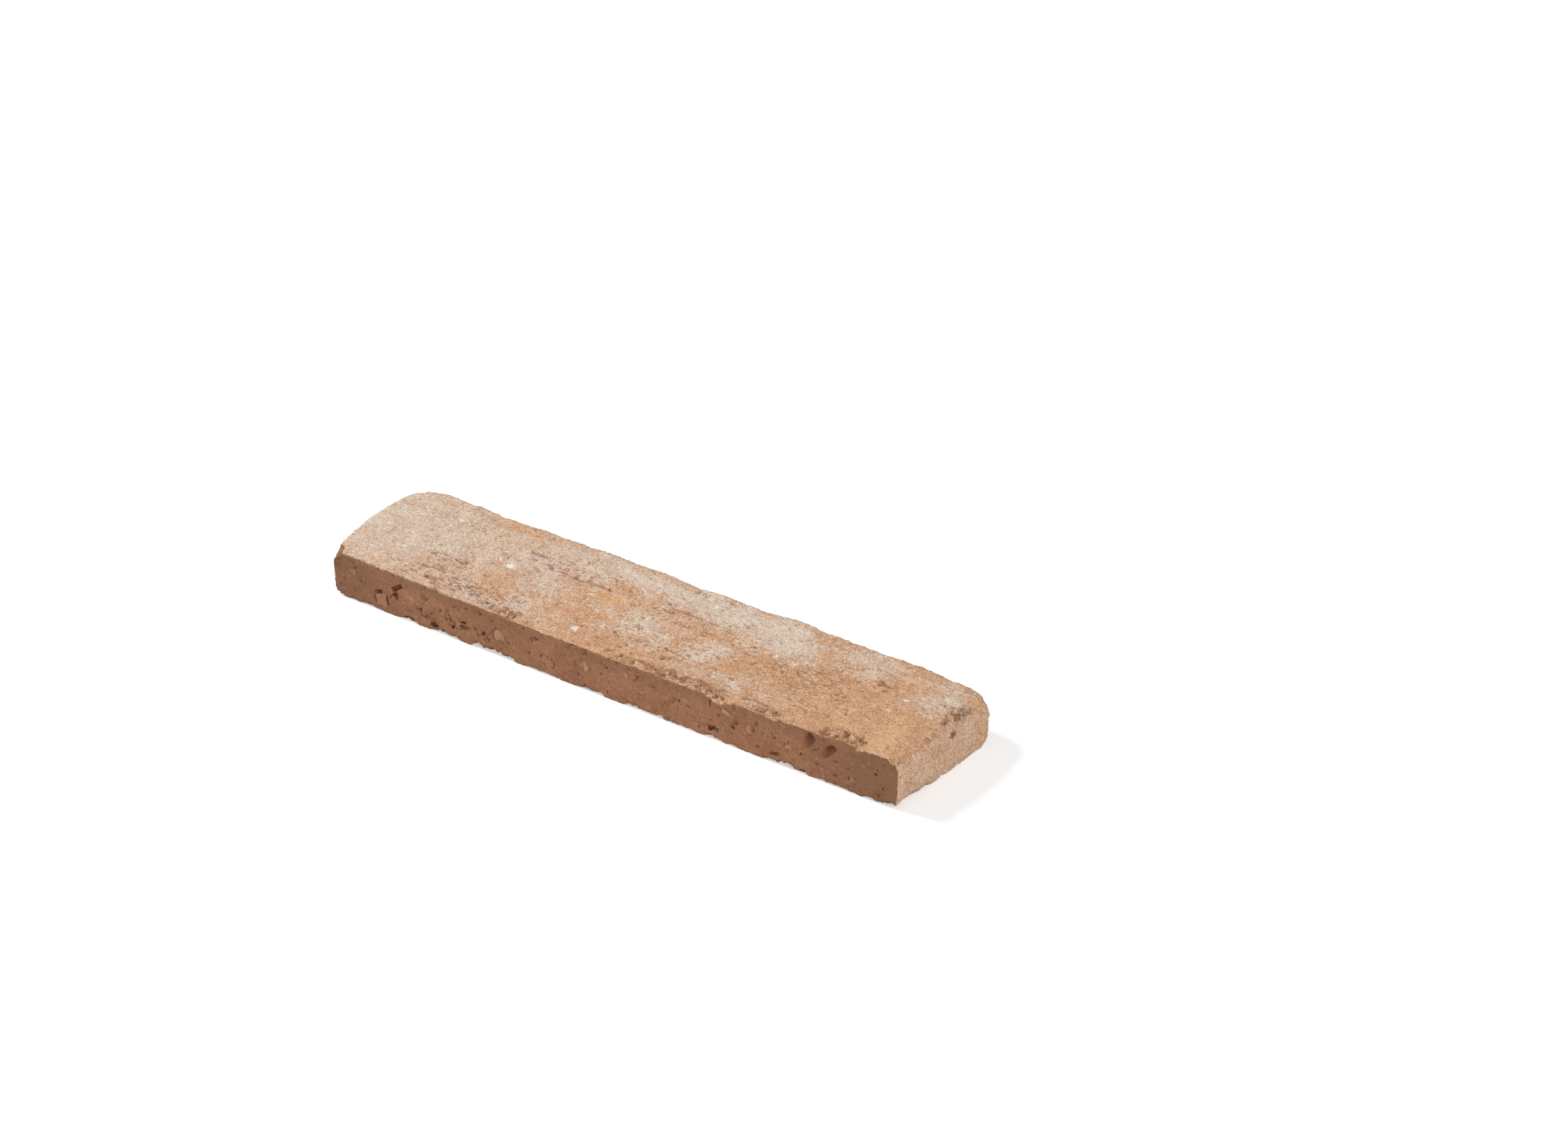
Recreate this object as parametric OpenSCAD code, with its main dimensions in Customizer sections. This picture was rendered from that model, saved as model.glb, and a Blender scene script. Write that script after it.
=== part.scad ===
/* [Overall size] */
// Length of the sawn edge, from end to end
edge_l = 206; // [150:1:260]
// Width, from the sawn side to the moulded back
slip_w = 48.5; // [36:0.5:70]
// Thickness, from the bonding face to the weathered face
slip_t = 15; // [12:0.2:24]

/* [Moulded outline] */
// How far the left end swells out past the sawn edge
left_flare = 5.6; // [0:0.2:10]
// Width over which the left end swells out
left_flare_run = 28; // [15:1:34]
// How far the right end leans out past the sawn edge
right_flare = 3; // [0:0.2:8]
// Radius of the back left corner, seen from above
left_corner_r = 9.5; // [4.5:0.5:12]
// Radius of the back right corner, seen from above
right_corner_r = 9; // [8:0.5:12]
// Radius of the rounded arris round the weathered face
arris_r = 3; // [1.5:0.1:4]
// Extra radius where the back right corner is worn
worn_r = 3.6; // [0:0.2:4]
// Reach of the worn corner along the arris
worn_reach = 16; // [8:1:24]
// Swell of the sides at half their height
side_swell = 0.4; // [0:0.1:1]
// Height of the waves along the back
back_wave = 0.5; // [0:0.1:1.2]
// Length of the longest wave along the back
back_wave_l = 62; // [40:1:90]

/* [Weathered face] */
// Rise of the face along its middle
crown_h = 0.4; // [0:0.1:1.2]
// Height of the clay fold that runs along the face
fold_h = 1; // [0:0.1:1.6]
// Width of the slope at the front of the fold
fold_slope = 3; // [2:0.5:6]
// Width over which the fold dies away behind its front
fold_reach = 14; // [8:1:20]
// Height of the high ground at the ends
end_rise = 0.6; // [0:0.1:1.2]
// Depth of the hollow left of the middle
hollow_d = 0.9; // [0:0.1:1.4]
// Height of the lump on the sawn edge near the right end
lump_h = 1.1; // [0:0.1:1.6]
// Height of the fine ripples on the face
ripple_h = 0.12; // [0:0.02:0.3]

/* [Pores and breaks] */
// Radius of the larger bubble that the saw opened
bubble_r = 2.5; // [1:0.1:3.4]
// Radius of the smaller pair of bubbles
pair_r = 1.9; // [0.8:0.1:2.6]
// Radius of the ordinary open pores
pore_r = 0.8; // [0.4:0.1:1.4]
// Length of the long break in the bottom edge
break_l = 17; // [8:1:24]
// Height of the long break in the bottom edge
break_h = 2.1; // [0.8:0.1:3]
// Length of the break in the bottom edge of the right end
end_break_l = 16; // [8:1:22]
// Height of the break in the bottom edge of the right end
end_break_h = 2.4; // [0.8:0.1:3]
// Length of the flake lost from the top edge
flake_l = 11; // [6:1:16]
// Height of the flake lost from the top edge
flake_h = 1.6; // [0.6:0.1:2.4]
// Radius of the knock in the right end
knock_r = 3; // [1.5:0.1:4]
// Depth of clay lost from the front left corner
corner_loss = 2.8; // [0.4:0.1:3.2]

/* [Hidden] */

// Stock outside the two saw cuts
front_stock = 13;
under_stock = 3;
brick_w = slip_w + front_stock;

// Steps of the skin: in a corner, along, across, and round the arris
corner_steps = 5;
long_steps = 56;
cross_steps = 12;
arris_steps = 5;

// Swells of the weathered face: place along, place across, length, width, height
swells = [
    [0.06, 0.25, 26, 34, end_rise],
    [0.41, 0.05, 26, 26, -hollow_d],
    [0.62, 0.15, 24, 16, -hollow_d / 2],
    [0.97, 0.20, 22, 30, end_rise],
    [0.91, 0.02, 7, 6, lump_h]
];

// Clay fold: where its front starts and ends, along and across
fold_from = [0.22, 0.74];
fold_to = [0.60, 0.53];

// Open pores of the sawn side: place along, place up, radius, depth of the centre
pores = [
    [0.860, 0.78, bubble_r, 0.5],
    [0.883, 0.62, pair_r, 0.2],
    [0.894, 0.70, pair_r, 0.3],
    [0.760, 0.56, pore_r * 1.6, 0.1],
    [0.730, 0.53, pore_r, 0.2],
    [0.688, 0.23, pore_r * 1.6, -0.3],
    [0.700, 0.21, pore_r * 1.3, -0.1],
    [0.842, 0.43, pore_r * 0.8, 0],
    [0.430, 0.94, pore_r, 0],
    [0.381, 0.72, pore_r, 0],
    [0.286, 0.40, pore_r, 0],
    [0.222, 0.40, pore_r * 1.2, 0],
    [0.228, 0.27, pore_r, 0],
    [0.190, 0.18, pore_r * 1.7, -0.3]
];

// Voids torn along the clay: place along, place up, length, radius, tilt
tears = [
    [0.086, 0.42, 3.8, 0.9, -26],
    [0.103, 0.30, 4.2, 0.6, 76],
    [0.123, 0.68, 5.8, 1.1, -31],
    [0.121, 0.50, 2.4, 0.8, -10],
    [0.247, 0.49, 4.4, 0.7, -8]
];

// Breaks of the bottom edge: place along, length, height
bottom_breaks = [
    [0.300, break_l, break_h],
    [0.143, break_l * 0.45, break_h * 0.9],
    [0.203, break_l * 0.5, break_h * 0.75],
    [0.476, break_l * 0.6, break_h * 0.4],
    [0.562, break_l * 0.6, break_h * 0.65],
    [0.695, break_l * 0.5, break_h * 0.6],
    [0.815, break_l * 0.6, break_h * 0.9],
    [0.985, break_l * 0.5, break_h * 0.9]
];

// Breaks of the bottom edge of the right end: place across, length, height
end_breaks = [
    [0.10, end_break_l, end_break_h],
    [0.93, end_break_l * 0.7, end_break_h]
];

// Flakes lost from the top edge: place along, length, height
top_flakes = [
    [0.698, flake_l, flake_h],
    [0.937, flake_l * 0.55, flake_h * 0.9]
];

// Ball that breaks the front left corner, and the direction that it comes from
corner_ball_r = 12;
corner_from = [-0.6, -0.25, 0.76];

function clamp(a) = max(0, min(1, a));
function ease(a) = sin(90 * clamp(a));
function bell(d, reach) = exp(-d * d / (reach * reach));
function mix(a, b, s) = a + (b - a) * s;
function total(list) = [for (v = list) 1] * list;

// Places of the skin's lines from 0 to l, closer together in the corners at each end
function lines(l, r, n) = concat(
    [for (i = [0 : corner_steps - 1]) r * i / corner_steps],
    [for (i = [0 : n]) r + (l - 2 * r) * i / n],
    [for (i = [1 : corner_steps]) l - r + r * i / corner_steps]
);
line_r = max(left_corner_r, right_corner_r);
across_lines = lines(brick_w, line_r, cross_steps);
along_lines = lines(edge_l, line_r, long_steps);
nx = len(along_lines) - 1;
ny = len(across_lines) - 1;
border_n = 2 * (nx + ny);

// Share from -1 to 1 of each line of the skin
function share_x(i) = 2 * along_lines[i] / edge_l - 1;
function share_y(j) = 2 * across_lines[j] / brick_w - 1;

// Point of the moulded outline, rounded at its corners and drawn in by inset
function plan(u, v, inset) =
    let (
        half = [edge_l / 2 - inset, brick_w / 2 - inset],
        r = max((u < 0 ? left_corner_r : right_corner_r) - inset, 0.3),
        p = [abs(u) * half[0], abs(v) * half[1]],
        d = [max(0, p[0] - half[0] + r), max(0, p[1] - half[1] + r)],
        m = min(d[0], d[1]) > 0 ? max(d[0], d[1]) / norm(d) : 1,
        q = [p[0] - d[0] * (1 - m), p[1] - d[1] * (1 - m)]
    )
    [sign(u) * q[0] + edge_l / 2, sign(v) * q[1] + brick_w / 2 - front_stock];

// Radius of the arris at a point of the outline
function arris(u, v) =
    let (p = plan(u, v, 0), worn = norm(p - [edge_l, slip_w]))
    arris_r + worn_r * bell(worn, worn_reach);

// Height of the clay fold: its front slopes up and it dies away behind
function fold(x, y) =
    let (
        s = (x / edge_l - fold_from[0]) / (fold_to[0] - fold_from[0]),
        behind = y - slip_w * mix(fold_from[1], fold_to[1], s),
        window = ease(4 * s + 0.5) * ease(4 * (1 - s) + 0.5)
    )
    fold_h * window * bell(max(0, behind), fold_reach) / (1 + exp(-5 * behind / fold_slope));

// Height of the weathered face above its plain level
function relief(x, y) =
    crown_h * sin(180 * clamp(y / slip_w))
    + fold(x, y)
    + total([for (s = swells) s[4] * bell(x - s[0] * edge_l, s[2]) * bell(y - s[1] * slip_w, s[3])])
    + ripple_h * (sin(29 * x + 11 * y) + sin(13 * x - 31 * y));

// The firing and the mould leave no side straight
function warp(p) =
    let (
        w = clamp(p[1] / slip_w),
        end = pow(abs(2 * p[0] / edge_l - 1), 3),
        out = p[0] < edge_l / 2 ? -left_flare * ease(p[1] / left_flare_run) : right_flare * w,
        wave = sin(360 * p[0] / back_wave_l) + 0.5 * sin(360 * p[0] / (0.37 * back_wave_l) + 70)
    )
    [
        p[0] + end * out,
        p[1] + back_wave * wave * w * w,
        p[2] + relief(p[0], p[1]) * clamp(p[2] / slip_t)
    ];

// Rings of the side, from the stock under the slip up to the start of the arris
side_rings = [
    [-under_stock, side_swell],
    [0, side_swell],
    [0.25, side_swell * 0.25],
    [0.55, 0]
];
function side_point(b, k) =
    let (s = side_rings[k], z = s[0] < 0 ? s[0] : s[0] * slip_t, p = plan(b[0], b[1], s[1]))
    [p[0], p[1], z];

function arris_point(b, k) =
    let (r = arris(b[0], b[1]), a = 90 * k / arris_steps, p = plan(b[0], b[1], r * (1 - cos(a))))
    [p[0], p[1], slip_t - r * (1 - sin(a))];

// Border of the grid of shares, anticlockwise from the front left corner
border = concat(
    [for (i = [0 : nx - 1]) [share_x(i), -1]],
    [for (j = [0 : ny - 1]) [1, share_y(j)]],
    [for (i = [nx : -1 : 1]) [share_x(i), 1]],
    [for (j = [ny : -1 : 1]) [-1, share_y(j)]]
);

side_n = len(side_rings);
ring_n = side_n + arris_steps;
ring_points = [
    for (k = [0 : ring_n - 1], b = border)
        warp(k < side_n ? side_point(b, k) : arris_point(b, k - side_n))
];
top_points = [
    for (j = [0 : ny], i = [0 : nx])
        let (u = share_x(i), v = share_y(j), p = plan(u, v, arris(u, v)))
        warp([p[0], p[1], slip_t])
];
skin_points = concat(ring_points, top_points);

// Numbers of the grid's points, and of its border points in the order of the rings
function grid_at(i, j) = ring_n * border_n + j * (nx + 1) + i;
border_at = concat(
    [for (i = [0 : nx - 1]) grid_at(i, 0)],
    [for (j = [0 : ny - 1]) grid_at(nx, j)],
    [for (i = [nx : -1 : 1]) grid_at(i, ny)],
    [for (j = [ny : -1 : 1]) grid_at(0, j)]
);
function ring_at(k, n) = k < ring_n ? k * border_n + n % border_n : border_at[n % border_n];

// Faces: the bottom of the stock, the bands between the rings, and the weathered face
skin_faces = concat(
    [[for (n = [0 : border_n - 1]) n]],
    [
        for (k = [0 : ring_n - 1], n = [0 : border_n - 1], half = [0, 1])
            half == 0
                ? [ring_at(k, n), ring_at(k + 1, n), ring_at(k + 1, n + 1)]
                : [ring_at(k, n), ring_at(k + 1, n + 1), ring_at(k, n + 1)]
    ],
    [
        for (j = [0 : ny - 1], i = [0 : nx - 1], half = [0, 1])
            half == 0
                ? [grid_at(i, j), grid_at(i + 1, j + 1), grid_at(i + 1, j)]
                : [grid_at(i, j), grid_at(i, j + 1), grid_at(i + 1, j + 1)]
    ]
);

// Box of what the saw leaves, to set the origin under its middle
kept = [for (p = skin_points) if (p[1] >= 0 && p[2] >= 0) p];
low_x = min([for (p = kept) p[0]]);
high_x = max([for (p = kept) p[0]]);
high_y = max([for (p = kept) p[1]]);
centre = [(low_x + high_x) / 2, high_y / 2, 0];

// Radius of the ball whose edge cut has this length and height, and how far out it sits
function ball_r(l, h) = (l * l / 4 + h * h) / (2 * h);
function ball_out(l, h) = ball_r(l, h) - h;

module moulded_skin() {
    polyhedron(points = skin_points, faces = skin_faces, convexity = 4);
}

// The two cuts of the saw: along the front and under the slip
module saw_cuts() {
    reach = 2 * left_flare + 2 * right_flare + 20;
    translate([-reach, -2 * front_stock, -2 * under_stock])
        cube([edge_l + 2 * reach, 2 * front_stock, 3 * slip_t]);
    translate([-reach, -2 * front_stock, -2 * under_stock])
        cube([edge_l + 2 * reach, brick_w + 4 * front_stock, 2 * under_stock]);
}

// A shallow break in an edge of the sawn side, up from the bottom or down from the top
module edge_break(x, z, l, h, up) {
    out = ball_out(l, h);
    translate([x, -out, z - up * out])
        sphere(r = norm([ball_r(l, h), out]), $fn = 72);
}

// A shallow break in the bottom edge of the right end
module end_break(y, l, h) {
    out = ball_out(l, h);
    translate([edge_l + right_flare * y / slip_w + out, y, -out])
        sphere(r = norm([ball_r(l, h), out]), $fn = 72);
}

// A round pore, its pole square to the sawn side
module open_pore(x, z, r, deep) {
    translate([x, deep, z])
        rotate([90, 0, 0])
            sphere(r = r, $fn = 20);
}

// A torn void: a slim cone that runs along the sawn side and into it
module tear(x, z, l, r, tilt) {
    translate([x, r * 0.2, z])
        rotate([0, 90 + tilt, 8])
            translate([0, 0, -l / 2])
                cylinder(h = l, r1 = r, r2 = r * 0.35, $fn = 20);
}

// The knock in the right end, on the arris
module end_knock() {
    y = 0.53 * slip_w;
    translate([edge_l + right_flare * 0.5 + knock_r * 0.35, y, slip_t - arris_r * 0.4])
        sphere(r = knock_r, $fn = 24);
}

// The broken front left corner of the weathered face
module lost_corner() {
    translate([0, 0, slip_t + relief(0, 0)] + corner_from * (corner_ball_r - corner_loss))
        sphere(r = corner_ball_r, $fn = 72);
}

module brick_slip() {
    color([0.78, 0.60, 0.45])
        translate(-centre)
            difference() {
                moulded_skin();
                saw_cuts();
                for (b = bottom_breaks)
                    edge_break(b[0] * edge_l, 0, b[1], b[2], 1);
                for (f = top_flakes)
                    edge_break(f[0] * edge_l, slip_t + relief(f[0] * edge_l, 0), f[1], f[2], -1);
                for (e = end_breaks)
                    end_break(e[0] * slip_w, e[1], e[2]);
                for (p = pores)
                    open_pore(p[0] * edge_l, p[1] * slip_t, p[2], p[3]);
                for (t = tears)
                    tear(t[0] * edge_l, t[1] * slip_t, t[2], t[3], t[4]);
                end_knock();
                lost_corner();
            }
}

brick_slip();
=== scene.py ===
"""Brick slip: its weathered clay skin, its sawn side and the studio that it is shown in."""
import math

import bpy
import numpy as np
from bpy.props import FloatProperty, FloatVectorProperty, IntProperty, PointerProperty
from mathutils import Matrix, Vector


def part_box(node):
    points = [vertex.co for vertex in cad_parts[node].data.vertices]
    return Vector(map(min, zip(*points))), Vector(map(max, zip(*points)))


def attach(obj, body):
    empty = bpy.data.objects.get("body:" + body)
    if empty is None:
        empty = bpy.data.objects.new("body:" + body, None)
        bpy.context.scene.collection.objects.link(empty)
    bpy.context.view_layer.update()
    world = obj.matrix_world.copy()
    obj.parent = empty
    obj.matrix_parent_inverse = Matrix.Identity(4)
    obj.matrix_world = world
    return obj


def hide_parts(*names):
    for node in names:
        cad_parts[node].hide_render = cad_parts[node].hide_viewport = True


bl_info = {
    "name": "Brick Slip",
    "version": (1, 0, 0),
    "blender": (4, 5, 0),
    "location": "3D View > Sidebar > Brick Slip",
    "description": "Dresses a sawn brick slip with its fired, weathered surface",
    "category": "Object",
}

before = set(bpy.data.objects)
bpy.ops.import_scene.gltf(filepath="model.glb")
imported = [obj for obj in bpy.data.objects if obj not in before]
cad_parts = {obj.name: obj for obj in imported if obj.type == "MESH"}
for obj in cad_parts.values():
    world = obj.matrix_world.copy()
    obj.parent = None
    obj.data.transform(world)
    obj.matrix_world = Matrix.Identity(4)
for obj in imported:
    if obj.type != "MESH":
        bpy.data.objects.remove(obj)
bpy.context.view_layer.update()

CAD_NODE = "brick_slip"
PIECE = "fired_slip"

MM = 0.001
LOW, HIGH = (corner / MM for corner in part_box(CAD_NODE))
SAWN_Y = LOW.y
BACK_Y = HIGH.y


def shade(red, green, blue):
    """A colour given as on screen, from 0 to 255, as Blender's linear colour."""
    parts = [part / 255 for part in (red, green, blue)]
    return tuple(part / 12.92 if part <= 0.04045 else ((part + 0.055) / 1.055) ** 2.4 for part in parts)


# Places on the weathered face, in mm: x along from the middle, y back from the sawn side.
# Sandy, limy and ochre ground: x, y, half length, half width, strength
SAND_GROUND = [
    (-92, 25, 44, 34, 1.0),
    (-50, 30, 40, 20, 0.75),
    (-30, 40, 30, 12, 0.9),
    (20, 40, 46, 12, 0.85),
    (-32, 8, 18, 9, 0.55),
    (2, 20, 18, 12, 0.6),
    (-38, 18, 26, 12, 0.5),
    (-50, 4, 22, 5, 0.7),
    (40, 8, 26, 6, 0.5),
    (70, 38, 18, 9, 0.65),
    (98, 36, 14, 12, 0.75),
]
LIME_GROUND = [
    (42.5, 34.1, 12, 9, 1.0),
    (20, 38.5, 24, 8, 1.0),
    (-4, 39, 17, 6, 0.85),
    (-16.5, 39.1, 10, 6, 0.6),
    (3.5, 21.1, 6, 5, 0.75),
    (12.5, 13.1, 5, 6, 0.5),
    (27, 17, 9, 7, 0.65),
    (-33.5, 7.1, 7, 5, 0.5),
    (-20.5, 26.1, 2, 5, 0.6),
    (65.5, 35.1, 8, 6, 0.6),
    (39.5, 8.1, 7, 4, 0.5),
    (97.5, 36.1, 5, 5, 0.55),
    (-96.5, 33.1, 9, 9, 0.4),
]
OCHRE_GROUND = [
    (-15.5, 26.1, 6, 4, 1.0),
    (-23.5, 20.1, 3, 2, 0.9),
    (94.5, 10, 6, 13, 0.8),
    (89.5, 36.1, 8, 5, 0.6),
    (55.5, 36.1, 3, 5, 0.6),
    (106.5, 40.1, 5, 4, 1.3),
    (-74.5, 13.1, 2, 3, 0.9),
    (-62.5, 43.1, 3, 2, 0.8),
    (-55.5, 42.1, 3, 2, 0.9),
    (74.5, 23.1, 12, 8, 0.4),
    (80, 10, 20, 11, 0.45),
    (44, 20, 12, 5, 0.45),
    (-14.5, 46.1, 8, 3, 0.5),
]
# Pits: x, y, radius, depth
PITS = [
    (-74.5, 16.4, 1.3, 1.0), (-74.1, 13.1, 0.8, 0.6), (-52.5, 7.1, 0.8, 0.8),
    (-55.5, 5.7, 0.7, 0.7), (-64, 43.3, 0.9, 0.7), (-55.5, 42.1, 1.1, 0.8),
    (-49.5, 27.1, 0.6, 0.6), (-31.5, 37.5, 0.8, 1.0), (-19, 38.7, 1.0, 0.7),
    (-18.2, 34.6, 1.1, 0.6), (-15.5, 11.7, 1.0, 0.7), (-10, 13.1, 0.9, 0.6),
    (-16.5, 15.1, 0.7, 0.6), (2.3, 32.7, 1.0, 0.9), (20.9, 41.1, 0.9, 1.1),
    (5.5, 43.7, 1.5, 0.6), (8.5, 43.1, 1.3, 0.5), (18.5, 9.1, 1.6, 0.9),
    (23.5, 13.7, 1.0, 0.6), (17.5, 13.1, 0.9, 0.5), (70, 35.4, 0.9, 1.0),
    (78.3, 31.4, 1.1, 0.9), (81.9, 29.5, 1.0, 0.8), (80.7, 24.5, 0.9, 0.9),
    (78.5, 13.4, 0.8, 0.8), (70.1, 30.6, 0.6, 0.7), (94.1, 30.9, 0.8, 0.7),
    (90.9, 3.6, 1.6, 1.3), (74.7, 10.1, 0.7, 0.6), (69.3, 14.5, 0.6, 0.6),
    (101.9, 32.1, 1.6, 1.0), (104.1, 29.7, 1.8, 1.2), (105.1, 19.3, 1.0, 0.6),
    (79.5, 44.1, 0.7, 0.6), (72.5, 43.9, 0.6, 0.6), (56, 28.5, 1.1, 0.5),
]
# Creases and grooves: half width, depth, points along them
CREASES = [
    (0.75, 0.8, [(-40.5, 29.9), (-36.5, 30), (-33.5, 30.3), (-28.5, 29.5), (-24.5, 29.7), (-17.5, 29.5)]),
    (0.5, 0.4, [(-17.5, 29.5), (-12.5, 29.9), (-9.5, 30)]),
    (0.8, 0.8, [(-50.5, 33.9), (-46.5, 33.3), (-43.5, 34)]),
    (1.1, 1.0, [(-43.5, 32), (-40.5, 31), (-38.5, 29.5)]),
    (0.65, 0.7, [(4.5, 30.7), (10.5, 30.5), (16.5, 30.1), (20.5, 30.7)]),
    (0.6, 0.6, [(6.5, 25.7), (13.5, 25.3), (23.5, 26.1)]),
    (0.7, 0.9, [(-71.5, 16.7), (-66.5, 16.8), (-61.5, 16.5)]),
    (0.9, 0.9, [(-68, 4.5), (-65.5, 5.2), (-62.5, 5.8)]),
    (0.6, 0.7, [(-72.5, 8.7), (-66.5, 9.3), (-58.5, 8.9)]),
    (0.8, 0.8, [(7, 3.3), (13, 4.3), (19, 3.1), (25, 4.7)]),
    (0.8, 0.9, [(27, 3.5), (33, 5.3), (38, 4.3), (41, 2.3)]),
    (0.8, 0.7, [(50, 4.3), (54, 4.7), (58, 4.3)]),
    (0.9, 0.9, [(77.5, 33.5), (79.3, 31.3), (82.5, 32.9)]),
    (0.5, 0.5, [(68, 34.7), (71, 36.5)]),
    (0.4, 0.5, [(63.5, 33.3), (68, 34.5)]),
    (0.6, 0.6, [(55.5, 22.5), (59.5, 22.1), (62.5, 21.7)]),
    (0.5, 0.5, [(44.5, 8.7), (47.5, 7.7), (50.5, 7.1)]),
    (0.5, 0.5, [(60.5, 26.1), (65.5, 25.7), (70.5, 26.1)]),
    (0.5, 0.6, [(69.5, 19.1), (72.1, 15.3)]),
    (0.5, 0.6, [(101.5, 33.1), (103.5, 29.5), (102.7, 27.1), (105.5, 24.1)]),
    (0.4, 0.5, [(98.5, 28.1), (102.5, 27.5)]),
    (0.9, 0.8, [(39, 4.1), (42, 1.5), (44, -0.3)]),
    (0.5, 0.5, [(32.5, 3.7), (36.5, 2.9), (40.5, 1.3)]),
    (0.6, 0.7, [(85, 5.1), (85.7, 1.5), (84.9, -0.1)]),
]
# Lumps of clay that stand up: x, y, radius, height
LUMPS = [
    (83.5, 2.7, 2.6, 0.7), (87.9, 2.3, 2.2, 0.6), (80.5, 1.7, 1.6, 0.5),
    (42.5, 2.5, 1.5, 0.6), (39.1, 1.7, 1.2, 0.4), (25.5, 4.7, 1.4, 0.5),
    (21.9, 6.1, 1.2, 0.4), (34.1, 2.3, 1.3, 0.4), (-40.5, 32.1, 2.0, 0.4),
    (102.9, 31.9, 1.8, 0.4), (104.5, 26.9, 1.4, 0.4), (80.1, 29.9, 1.4, 0.3),
]
# Where the front arris has crumbled: x, y, half length, half width, strength
CRUMBS = [
    (84, 2, 8, 5, 1.2), (41, 2, 8, 5, 1.2), (24, 3, 12, 4, 1.0), (60, 2, 11, 3, 0.8),
    (-40, 3, 24, 3, 0.4), (8, 2, 12, 3, 0.8), (104.5, 28, 4, 6, 1.0),
]
# Where brown dashes run along the face: x, y, half length, half width, strength
DASHED = [(-56, 6, 20, 7, 1.0), (-66, 16, 9, 3, 0.9), (-35, 32, 18, 4, 0.5), (15, 28, 20, 5, 0.5), (58, 22, 28, 10, 0.7), (20, 12, 30, 6, 0.5)]
# White chips in the face: x, y, radius
CHALK = [
    (-50.5, 23.6, 1.3), (-56, 25.2, 0.6), (-80.5, 36.5, 0.8), (-57.5, 30.3, 0.5),
    (-13.5, 7.6, 1.2), (44.7, 26.7, 1.0), (14.5, 39, 0.8), (12.5, 34.5, 0.6),
    (-84.5, 13.7, 0.7), (-89, 29.1, 0.4), (89.1, 27.5, 0.6), (87.5, 21.1, 0.5),
]

# Places on the sawn side, in mm: x along, z up from the bonding face.
# Voids: x, z, half length, half height, tilt, depth
VOIDS = [
    (-83.9, 6.5, 1.8, 0.6, 25, 1.1), (-80.1, 4.4, 0.45, 2.4, 12, 0.9), (-76.1, 10.2, 3.2, 0.65, 35, 1.2),
    (-76.9, 7.4, 0.9, 1.1, 0, 0.7), (-97, 6.9, 0.6, 0.5, 20, 0.6), (-90.5, 7.6, 0.8, 0.4, -20, 0.6),
    (-62, 2.2, 1.6, 1.0, 10, 1.3), (-55.5, 5.9, 0.7, 0.5, 0, 0.7), (-54.5, 3.8, 0.6, 0.5, 0, 0.7),
    (-50.3, 7.0, 1.5, 0.45, 10, 0.8), (-45.5, 6.4, 0.8, 0.5, -20, 0.8), (-42.5, 5.8, 0.7, 0.45, 0, 0.7),
    (-33.5, 5.8, 0.6, 0.5, 0, 0.7), (-23, 10.8, 1.2, 0.35, 15, 0.5), (-13.2, 14.5, 1.4, 1.1, -30, 1.5),
    (41.5, 3.4, 2.2, 0.7, 12, 1.2), (50, 8.6, 0.5, 0.8, 20, 0.9), (48.7, 6.4, 0.8, 0.6, 20, 0.9),
    (63, 2.9, 2.6, 0.7, 10, 0.7), (64, 10.4, 0.6, 0.5, 0, 0.6), (72, 6.3, 0.7, 0.6, 0, 0.8),
    (97, 3, 0.4, 0.35, 0, 0.6),
    (98.3, 4.1, 0.35, 0.3, 0, 0.5), (84, 3.8, 0.7, 0.5, 0, 0.6), (87.5, 7.6, 0.8, 0.4, 30, 0.5),
    (41, 11.8, 0.4, 1.6, 0, 0.7), (53.5, 10.5, 0.5, 0.4, 0, 0.5), (-67, 6.1, 0.6, 0.5, 0, 0.7),
    (-64.5, 10.1, 0.5, 0.4, 0, 0.6), (-62.5, 6.1, 0.5, 0.5, 0, 0.6), (-59, 8.1, 0.5, 0.5, 0, 0.6),
    (2.1, 11.1, 0.5, 0.4, 0, 0.5), (7.3, 13, 0.5, 0.4, 0, 0.5), (1.5, 3.9, 0.5, 0.4, 0, 0.5),
    (3.8, 1.6, 0.6, 0.4, 0, 0.5), (11, 1.8, 0.7, 0.4, 0, 0.5), (26.1, 7, 0.5, 0.4, 0, 0.5),
    (28.3, 8.4, 0.5, 0.5, 0, 0.6), (31.8, 13.6, 0.5, 0.4, 0, 0.5),
]
# The torn voids go no deeper than this
VOID_DEPTH = 1.0
# Large bubbles, steep at the upper left and gentle at the lower right, given in the same way
BUBBLES = [(75.0, 11.4, 3.1, 2.0, 75, 3.0), (81.6, 10.4, 3.3, 1.7, 43, 3.2)]
# Round openings of the large bubbles in the CAD solid: x, z, radius
OPENINGS = [(75.65, 12.15, 2.8), (80.4, 9.3, 2.25), (82.65, 10.5, 2.25)]
# Where the clay is loose and full of gaps: x, z, half length, half height, strength
LOOSE = [(-78, 7, 7, 4, 0.5), (-66, 6, 8, 4, 0.5), (-52, 5.5, 9, 2.2, 0.65), (-41, 4, 4, 2, 0.45), (41, 4, 4, 2, 0.45)]
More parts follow.
